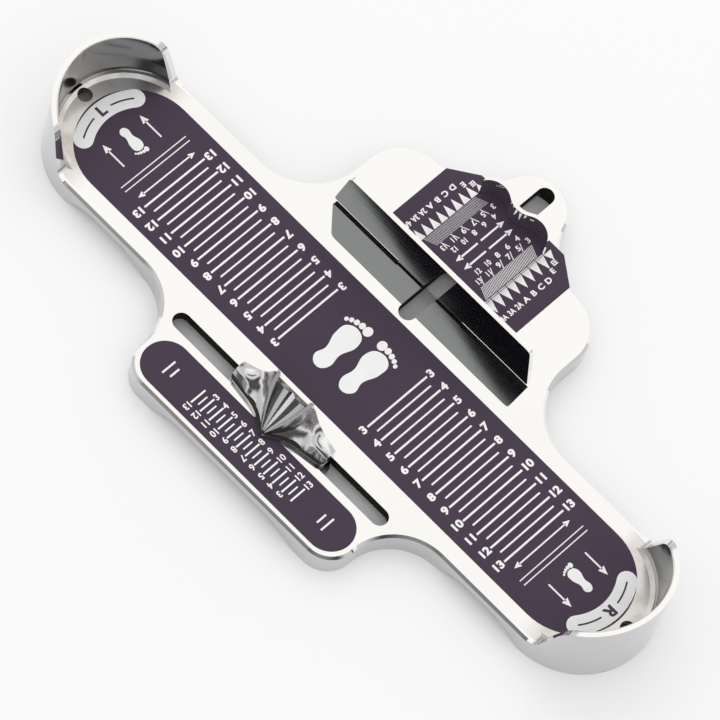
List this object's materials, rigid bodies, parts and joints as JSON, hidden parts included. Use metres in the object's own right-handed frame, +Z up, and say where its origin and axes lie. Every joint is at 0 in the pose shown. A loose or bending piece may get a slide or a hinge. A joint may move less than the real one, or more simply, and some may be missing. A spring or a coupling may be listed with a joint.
{
  "type": "foot measuring device",
  "caption": "Polished metal foot measuring plate with a heel cup at each end, printed scales, a sliding width bar and a sliding arch pointer.",
  "frame": {"origin": "centre of the device's box, on the surface it stands on", "axes": "+X from the left heel cup to the right one along the foot bed, +Y towards the width wing, +Z up"},
  "size_m": [0.359, 0.2108, 0.045],
  "materials": {
    "polished_aluminium": "mirror polished casting",
    "printed_plate": "thin anodised sheet, dark violet with a pale print",
    "plated_steel": "zinc plated",
    "spring_steel": "blued leaf"
  },
  "bodies": {
    "base": {"base_casting": "polished_aluminium", "foot_scale_plate": "printed_plate", "arch_scale_plate": "printed_plate", "width_scale_plate_left": "printed_plate", "width_scale_plate_right": "printed_plate"},
    "width_slider": {"width_bar": "polished_aluminium", "width_chart_plate": "printed_plate", "width_clamp_plate": "plated_steel", "width_spring": "spring_steel", "width_screw_inner": "plated_steel", "width_screw_outer": "plated_steel", "width_washer_inner": "plated_steel", "width_washer_outer": "plated_steel"},
    "arch_slider": {"arch_pointer": "polished_aluminium", "arch_clamp_plate": "plated_steel", "arch_spring": "spring_steel", "arch_screw_left": "plated_steel", "arch_screw_right": "plated_steel", "arch_washer_left": "plated_steel", "arch_washer_right": "plated_steel"}
  },
  "joints": [
    {"name": "width_slide", "type": "slide", "parent": "base", "child": "width_slider", "axis": [0, 1, 0], "range_m": [-0.0232, 0.0256]},
    {"name": "arch_slide", "type": "slide", "parent": "base", "child": "arch_slider", "axis": [1, 0, 0], "range_m": [-0.0375, 0.0375]}
  ]
}
